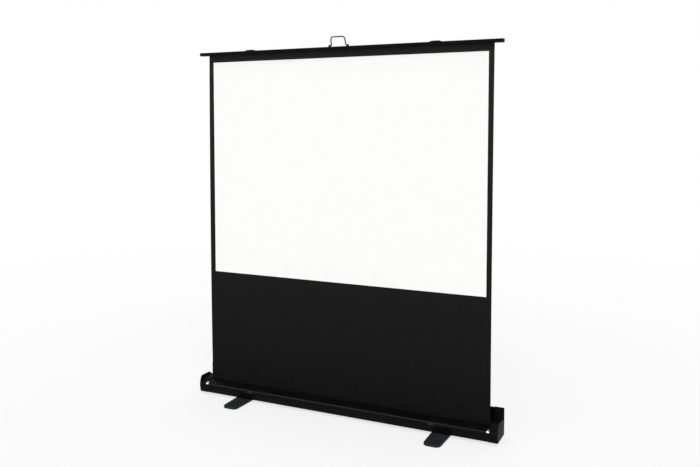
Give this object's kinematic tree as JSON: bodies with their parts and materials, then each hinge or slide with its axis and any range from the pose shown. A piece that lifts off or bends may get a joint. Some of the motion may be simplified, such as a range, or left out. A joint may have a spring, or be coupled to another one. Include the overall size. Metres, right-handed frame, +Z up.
{
  "type": "projector screen",
  "caption": "Free-standing pull-up projector screen: black floor case on turning feet, scissor lift, wide top bar with a wire handle and a white viewing area with black borders.",
  "frame": {"origin": "on the floor, under the middle of the case and of the feet", "axes": "+Z up; the viewing side faces -Y; +X runs along the bar to the viewer's right"},
  "size_m": [1.788, 0.415, 2.06],
  "materials": {
    "case_coat": "black satin powder coat on extruded aluminium",
    "latch_coat": "black satin paint on pressed steel",
    "black_plastic": "fine moulded grain",
    "foot_plastic": "charcoal moulded grain",
    "zinc_steel": "bright zinc plate",
    "rail_steel": "mill finish",
    "tube_aluminium": "mill finish",
    "arm_aluminium": "mill finish flat bar",
    "spring_steel": "oiled spring wire",
    "handle_wire": "dark plated wire",
    "black_fabric": "black masking and backing",
    "white_fabric": "matte white viewing coat",
    "pad_rubber": "matte rubber"
  },
  "bodies": {
    "case": {"roller_housing": "case_coat", "lift_tray": "case_coat", "end_cap_left": "black_plastic", "end_cap_right": "black_plastic", "roller_bracket_left": "zinc_steel", "roller_bracket_right": "zinc_steel", "idler_pin": "zinc_steel", "spring_shaft": "zinc_steel", "base_rail": "rail_steel", "base_pivot_pin": "zinc_steel", "base_pivot_spacer": "black_plastic", "latch_keeper_left": "latch_coat", "latch_keeper_right": "latch_coat", "foot_bolt_left": "zinc_steel", "foot_bolt_right": "zinc_steel", "screen_fabric": "black_fabric", "viewing_surface": "white_fabric"},
    "roller": {"roller_tube": "tube_aluminium", "roller_wrap": "black_fabric", "roller_plug_left": "black_plastic", "roller_plug_right": "black_plastic", "roller_spring": "spring_steel"},
    "left_foot": {"foot_left": "foot_plastic", "foot_pad_left_front": "pad_rubber", "foot_pad_left_rear": "pad_rubber"},
    "right_foot": {"foot_right": "foot_plastic", "foot_pad_right_front": "pad_rubber", "foot_pad_right_rear": "pad_rubber"},
    "lower_front_lift": {"lower_front_arm": "arm_aluminium"},
    "lower_rear_lift": {"lower_rear_arm": "arm_aluminium", "lower_cross_pin": "zinc_steel", "lower_cross_washer": "black_plastic", "right_elbow_pin": "zinc_steel", "right_elbow_washer": "black_plastic", "lower_slide_roller": "black_plastic"},
    "upper_rear_lift": {"upper_rear_arm": "arm_aluminium", "left_elbow_pin": "zinc_steel", "left_elbow_washer": "black_plastic"},
    "upper_front_lift": {"upper_front_arm": "arm_aluminium", "upper_cross_pin": "zinc_steel", "upper_cross_washer": "black_plastic", "upper_slide_roller": "black_plastic"},
    "bar": {"top_bar": "case_coat", "bar_cap_left": "black_plastic", "bar_cap_right": "black_plastic", "fabric_rod": "tube_aluminium", "carrier_rail": "rail_steel", "bar_bracket_1": "tube_aluminium", "bar_bracket_2": "tube_aluminium", "top_pivot_pin": "zinc_steel", "top_pivot_spacer": "black_plastic", "handle_clip_left": "black_plastic", "handle_clip_right": "black_plastic", "latch_hinge_left": "latch_coat", "latch_hinge_right": "latch_coat"},
    "handle": {"handle_bail": "handle_wire"},
    "left_latch": {"latch_leaf_left": "latch_coat"},
    "right_latch": {"latch_leaf_right": "latch_coat"}
  },
  "joints": [
    {"name": "lift_fold", "type": "hinge", "parent": "case", "child": "lower_front_lift", "pos_m": [0.3, 0.0499, 0.0295], "axis": [0, -1, 0], "range_deg": [0, 60.6], "deforming": ["screen_fabric", "viewing_surface"]},
    {"name": "lower_cross", "type": "hinge", "parent": "lower_front_lift", "child": "lower_rear_lift", "pos_m": [0.04, 0.0499, 0.51597], "axis": [0, 1, 0], "range_deg": [0, 121.3]},
    {"name": "left_elbow", "type": "hinge", "parent": "lower_front_lift", "child": "upper_rear_lift", "pos_m": [-0.22, 0.0499, 1.00245], "axis": [0, 1, 0], "range_deg": [0, 121.3]},
    {"name": "upper_cross", "type": "hinge", "parent": "upper_rear_lift", "child": "upper_front_lift", "pos_m": [0.04, 0.0499, 1.48893], "axis": [0, -1, 0], "range_deg": [0, 121.3]},
    {"name": "bar_pivot", "type": "hinge", "parent": "upper_rear_lift", "child": "bar", "pos_m": [0.3, 0.0499, 1.9754], "axis": [0, -1, 0], "range_deg": [0, 60.7]},
    {"name": "roller_spin", "type": "hinge", "parent": "case", "child": "roller", "pos_m": [0, -0.0255, 0.05], "axis": [1, 0, 0], "continuous": true},
    {"name": "left_foot_turn", "type": "hinge", "parent": "case", "child": "left_foot", "pos_m": [-0.595, 0, 0.008], "axis": [0, 0, 1], "range_deg": [0, 90]},
    {"name": "right_foot_turn", "type": "hinge", "parent": "case", "child": "right_foot", "pos_m": [0.595, 0, 0.008], "axis": [0, 0, -1], "range_deg": [0, 90]},
    {"name": "handle_fold", "type": "hinge", "parent": "bar", "child": "handle", "pos_m": [0, -0.0195, 2.0103], "axis": [1, 0, 0], "range_deg": [-107, 73]},
    {"name": "left_latch_swing", "type": "hinge", "parent": "bar", "child": "left_latch", "pos_m": [-0.546, -0.035, 2.008], "axis": [1, 0, 0], "range_deg": [0, 238.1]},
    {"name": "right_latch_swing", "type": "hinge", "parent": "bar", "child": "right_latch", "pos_m": [0.546, -0.035, 2.008], "axis": [1, 0, 0], "range_deg": [0, 238.1]}
  ],
  "couplings": [
    {"joint": "lower_cross", "follows": "lift_fold", "ratio": 2},
    {"joint": "left_elbow", "follows": "lift_fold", "ratio": 2},
    {"joint": "upper_cross", "follows": "lift_fold", "ratio": 2},
    {"joint": "bar_pivot", "follows": "lift_fold", "ratio": 1}
  ]
}
